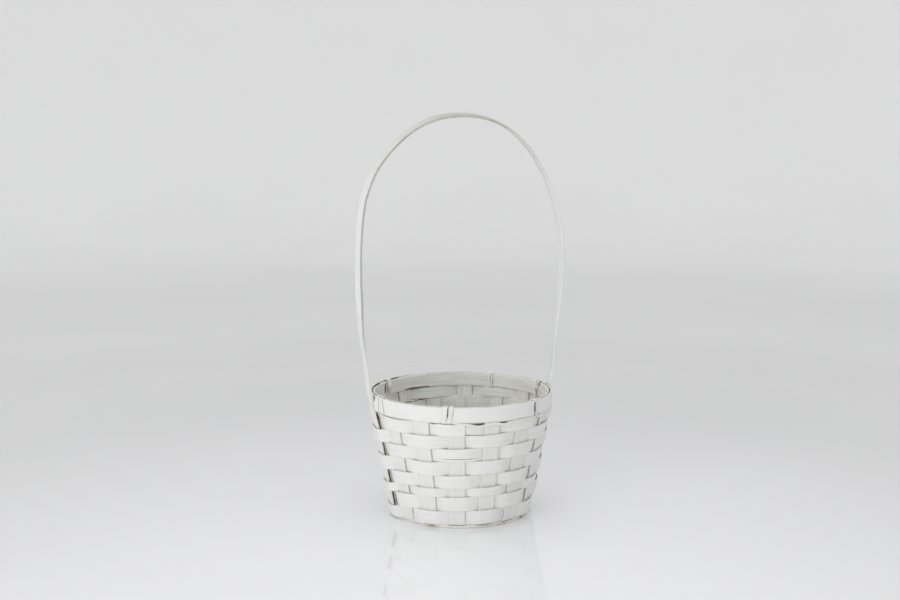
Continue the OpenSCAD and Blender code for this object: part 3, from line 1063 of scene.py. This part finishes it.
FOOT_W = 5 * MM
FOOT_OUT = 1.4 * MM
FOOT_RISE = 0.9 * MM

# Where the foot hoop's outer face was rubbed bare.
FOOT_SPOTS = (
    (2.05, 1.2 * MM, 20 * MM, 1.7 * MM),
    (4.6, 1.2 * MM, 24 * MM, 1.7 * MM),
    (5.8, 1.2 * MM, 18 * MM, 1.7 * MM),
    (9.5, 1.2 * MM, 24 * MM, 2.2 * MM),
    (13.2, 1.2 * MM, 20 * MM, 2.2 * MM),
)


def foot_parts():
    """The ring on the floor, which fills the space up to the wall between the splints."""
    rng = np.random.default_rng(77)
    positions = np.linspace(0, STAKES, 960)[:-1]
    by_left_leg = bump(wrapped(positions, 0), 0, 2)
    wave = ring_waviness(rng, positions, 3, 9, 0.12 * MM)
    middle_r = foot_r - FOOT_W / 2 + FOOT_OUT * (1 - by_left_leg) + wave
    from_splint = np.abs(positions - np.round(positions)) * PITCH * foot_r - STAKE_HALF
    rise = FOOT_RISE * smooth(from_splint / (1.2 * MM)) * (1 - by_left_leg)
    ring = radial(positions)
    half_t = (foot_height + rise) / 2
    points = round_axis(positions, middle_r, half_t)
    out = np.broadcast_to(UP, points.shape)
    width = FOOT_W / 2 - 0.15 * MM + ring_waviness(rng, positions, 4, 20, 0.06 * MM)
    bare = np.clip(0.06 + ring_waviness(rng, positions, 2, 12, 0.22), 0, 0.2)
    strip = Strip(points, ring, out, width, half_t, round_r=0.5 * MM, closed=True, seed=5.5,
                  bare=bare, edge_bare=0.15)
    strip.add_bare_and_shade(0.56 * bare_and_shade_spots(strip.points, FOOT_SPOTS))
    return [strip.arrays()]


def build_foot():
    add_piece("foot_ring", foot_parts(), FOOT_WOOD, ["foot_hoop"])


# ---- Camera, stage and lights ----

CAMERA_DISTANCE = 1.395
CAMERA_HEIGHT = 0.414
CAMERA_TURN = math.radians(19.7)
CAMERA_PITCH = math.radians(8.235)
CAMERA_PAN = math.radians(0.45)
CAMERA_LENS = 57.14

FLOOR_R = 2.2
CURVE_R = 1.3
CURVE_STEPS = 16
WALL_TOP = 4.5

RIGHT = Vector((math.cos(CAMERA_TURN), -math.sin(CAMERA_TURN), 0))
AWAY = Vector((math.sin(CAMERA_TURN), math.cos(CAMERA_TURN), 0))


def stage_place(right, away, up):
    return RIGHT * right + AWAY * away + Vector((0, 0, up))


def build_camera():
    data = bpy.data.cameras.new("camera")
    data.lens = CAMERA_LENS
    data.sensor_width = 36
    camera = bpy.data.objects.new("camera", data)
    bpy.context.scene.collection.objects.link(camera)
    camera.location = stage_place(0, -CAMERA_DISTANCE, CAMERA_HEIGHT)
    level = -math.sin(CAMERA_PAN) * RIGHT + math.cos(CAMERA_PAN) * AWAY
    view = level * math.cos(CAMERA_PITCH) - Vector((0, 0, math.sin(CAMERA_PITCH)))
    camera.rotation_euler = view.to_track_quat("-Z", "Y").to_euler()
    bpy.context.scene.camera = camera


def stage_material():
    """Pale glossy studio sweep with a painted pool of light round the object and a painted glow that grows
    with distance from it.
    """
    material = bpy.data.materials.new("studio_sweep")
    nodes = Nodes(material)
    place = nodes.object_space()
    distance = nodes.add("ShaderNodeVectorMath", {0: place}, "Value", operation="LENGTH")
    # Painted pool of light: the floor's colour is lighter round the object.
    near = nodes.remap(distance, 0.1, 0.8, 1.0, 0.0)
    mottling = nodes.remap(nodes.noise(place, scale=3.0, detail=2), 0.3, 0.7)
    far_colour = nodes.mix(mottling, (0.62, 0.62, 0.623, 1), (0.605, 0.605, 0.608, 1))
    polish = nodes.remap(distance, 0.5, 1.1, 0.05, 0.5)
    # Painted light: the sweep glows by its own emission, more the farther it is from the object.
    painted_glow = nodes.remap(distance, 0.45, 1.25, 0.0, 0.125)
    nodes.fill(nodes.shader, {
        "Base Color": nodes.mix(near, far_colour, (0.69, 0.69, 0.70, 1)),
        "Roughness": nodes.math("MULTIPLY_ADD", mottling, 0.01, polish),
        "Emission Color": (1.0, 1.0, 1.0, 1),
        "Emission Strength": nodes.math("ADD", painted_glow, nodes.remap(distance, 1.2, 3.2, 0.0, 0.165)),
        "Specular IOR Level": 0.5,
    })
    material.cycles.emission_sampling = "NONE"
    return material


def build_stage():
    """A round floor that curves up into a wall on every side."""
    profile = [(0.0, 0.0)] + [(0.12 * 1.35 ** k, 0.0) for k in range(10)] + [(FLOOR_R, 0.0)]
    for i in range(1, CURVE_STEPS + 1):
        angle = math.pi / 2 * i / CURVE_STEPS
        profile.append((FLOOR_R + CURVE_R * math.sin(angle), CURVE_R * (1 - math.cos(angle))))
    profile.append((FLOOR_R + CURVE_R, WALL_TOP))
    around = 96
    form = bmesh.new()
    rings = []
    angles = [math.tau * i / around for i in range(around)]
    for r, z in profile:
        if r == 0:
            rings.append([form.verts.new((0, 0, z))] * around)
        else:
            places = [(r * math.cos(angle), r * math.sin(angle), z) for angle in angles]
            rings.append([form.verts.new(place) for place in places])
    for inner, outer in zip(rings, rings[1:]):
        for i in range(around):
            corners = [inner[i], outer[i], outer[(i + 1) % around], inner[(i + 1) % around]]
            face = form.faces.new(list(dict.fromkeys(corners)))
            face.smooth = True
    bmesh.ops.recalc_face_normals(form, faces=form.faces)
    mesh = bpy.data.meshes.new("studio_sweep")
    form.to_mesh(mesh)
    form.free()
    mesh.materials.append(stage_material())
    sweep = bpy.data.objects.new("studio_sweep", mesh)
    bpy.context.scene.collection.objects.link(sweep)
    return sweep


def add_light(name, place, target, size, power, colour=(1, 1, 1)):
    data = bpy.data.lights.new(name, "AREA")
    data.shape = "RECTANGLE"
    data.size, data.size_y = size
    data.energy = power
    data.color = colour
    light = bpy.data.objects.new(name, data)
    bpy.context.scene.collection.objects.link(light)
    light.location = place
    light.rotation_euler = (target - place).to_track_quat("-Z", "Y").to_euler()
    return light


def light_only(light, lit):
    """Makes a light shine on one object and cast no shadow of the others."""
    for role in ("receiver", "blocker"):
        group = bpy.data.collections.new(f"{light.name}_{role}s")
        group.objects.link(lit)
        setattr(light.light_linking, f"{role}_collection", group)


def build_lights(sweep):
    middle = Vector((0, 0, 0.12))
    add_light("key_softbox", stage_place(-1.3, -1.8, 0.5), middle, (1.0, 0.9), 13.5, (1.0, 1.0, 0.985))
    add_light("right_fill", stage_place(1.7, -1.2, 0.9), middle, (1.2, 1.0), 0.3)
    before = stage_place(0, -0.5, 0)
    floor_light = add_light("floor_light", stage_place(0, -0.6, 0.9), before, (1.6, 0.5), 5.6)
    light_only(floor_light, sweep)
    add_light("top_softbox", stage_place(0.0, 0.2, 2.4), Vector((0, 0, 0)), (2.4, 2.4), 21)
    world = bpy.data.worlds.new("studio")
    world.use_nodes = True
    background = world.node_tree.nodes["Background"]
    background.inputs["Color"].default_value = (0.96, 0.97, 1.0, 1)
    background.inputs["Strength"].default_value = 0.3
    bpy.context.scene.world = world


def set_view():
    view = bpy.context.scene.view_settings
    view.view_transform = "Standard"
    view.look = "None"
    view.exposure = 0.0
    view.gamma = 1.0


build_weavers()
build_splints()
build_hoops()
build_lashings()
build_runs()
build_handle()
build_tacks()
build_foot()
build_camera()
build_lights(build_stage())
set_view()
